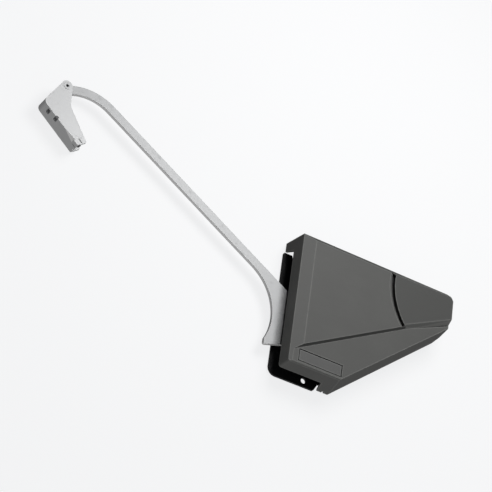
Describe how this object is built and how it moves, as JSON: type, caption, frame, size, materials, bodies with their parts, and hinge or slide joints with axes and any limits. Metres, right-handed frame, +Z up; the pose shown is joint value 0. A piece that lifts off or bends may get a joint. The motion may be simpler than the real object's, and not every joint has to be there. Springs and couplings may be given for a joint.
{
  "type": "cabinet lift-up flap stay",
  "caption": "Sprung lift-up flap stay with a covered body, a cranked swinging arm and a hinged clip-on door bracket.",
  "frame": {"origin": "centre of the two front fixing holes, on the mounting face of the base plate", "axes": "+X to the rear of the cabinet, +Z up, +Y into the side panel it is screwed to; the body stands on the -Y side"},
  "size_m": [0.4247, 0.0323, 0.1948],
  "materials": {
    "cover_plastic": "fine-grained moulded, charcoal grey",
    "badge_plastic": "satin, blank, charcoal grey",
    "black_plate": "satin black coating on pressed steel",
    "zinc_plate": "zinc-plated pressed steel",
    "cast_zinc": "as-cast zinc",
    "arm_nickel": "satin nickel-grey finish on pressed steel",
    "bracket_nickel": "satin nickel-grey finish on cast zinc",
    "latch_nickel": "satin nickel-grey finish on pressed steel",
    "turned_steel": "turned, zinc-plated",
    "roller_steel": "ground and hardened",
    "spring_steel": "drawn wire",
    "screw_steel": "zinc-plated",
    "white_acetal": "natural acetal",
    "black_nylon": "moulded nylon",
    "damper_plastic": "moulded barrel",
    "bumper_rubber": "soft ring"
  },
  "bodies": {
    "body": {"base_plate": "black_plate", "side_plate": "zinc_plate", "spacer_posts": "turned_steel", "stop_bumper": "bumper_rubber", "main_axle": "turned_steel", "inner_axle_spacer": "black_nylon", "outer_axle_spacer": "black_nylon", "tail_block": "cast_zinc", "damper_cylinder": "damper_plastic", "damper_cap": "white_acetal", "damper_saddle": "black_nylon", "upper_spring": "spring_steel", "lower_spring": "spring_steel", "cover_shell": "cover_plastic", "badge": "badge_plastic"},
    "arm": {"lever_arm": "arm_nickel", "cam_plates": "turned_steel", "cam_rivets": "turned_steel", "main_bush": "white_acetal", "tip_bushes": "white_acetal"},
    "yoke": {"spring_yoke": "cast_zinc", "roller_pin": "turned_steel", "yoke_guide_pin": "turned_steel", "guide_rods": "turned_steel", "damper_rod": "turned_steel", "damper_piston": "white_acetal"},
    "roller": {"cam_roller": "roller_steel"},
    "bridge": {"spring_bridge": "cast_zinc"},
    "screw": {"force_screw": "screw_steel", "screw_clip": "spring_steel"},
    "bracket": {"bracket_housing": "bracket_nickel", "bracket_pin": "turned_steel", "latch_pin": "turned_steel", "latch_spring": "spring_steel"},
    "latch": {"latch_lever": "latch_nickel"},
    "adjuster": {"depth_screw": "screw_steel"}
  },
  "joints": [
    {"name": "arm_swing", "type": "hinge", "parent": "body", "child": "arm", "pos_m": [-0.007, -0.01, 0.005], "axis": [0, -1, 0], "range_deg": [0, 109], "stiffness_Nm_per_rad": 1.05, "springref_deg": -163.87},
    {"name": "yoke_slide", "type": "slide", "parent": "body", "child": "yoke", "axis": [0.9272, 0, 0.3746], "range_m": [0, 0.0221], "deforming": ["upper_spring", "lower_spring"]},
    {"name": "roller_spin", "type": "hinge", "parent": "yoke", "child": "roller", "pos_m": [0.01525, -0.01, 0.01399], "axis": [0, -1, 0], "continuous": true},
    {"name": "screw_turn", "type": "hinge", "parent": "body", "child": "screw", "pos_m": [0.11724, -0.0145, 0.0552], "axis": [0.9272, 0, 0.3746], "range_deg": [-1262, 1262]},
    {"name": "bridge_slide", "type": "slide", "parent": "body", "child": "bridge", "axis": [0.9272, 0, 0.3746], "range_m": [-0.0035, 0.0035], "deforming": ["upper_spring", "lower_spring"]},
    {"name": "bracket_swing", "type": "hinge", "parent": "arm", "child": "bracket", "pos_m": [-0.27585, -0.01, 0.13139], "axis": [0, -1, 0], "range_deg": [-165, 14]},
    {"name": "latch_press", "type": "hinge", "parent": "bracket", "child": "latch", "pos_m": [-0.26617, -0.012, 0.09485], "axis": [0, 1, 0], "range_deg": [0, 8], "stiffness_Nm_per_rad": 0.06, "springref_deg": -14.32, "deforming": ["latch_spring"]},
    {"name": "depth_screw_turn", "type": "hinge", "parent": "bracket", "child": "adjuster", "pos_m": [-0.25502, -0.0132, 0.08231], "axis": [0.7912, 0, -0.6115], "range_deg": [-360, 360]}
  ],
  "couplings": [
    {"joint": "yoke_slide", "follows": "arm_swing", "m_per_rad": 0.011564},
    {"joint": "screw_turn", "follows": "bridge_slide", "rad_per_m": 6283.2}
  ]
}
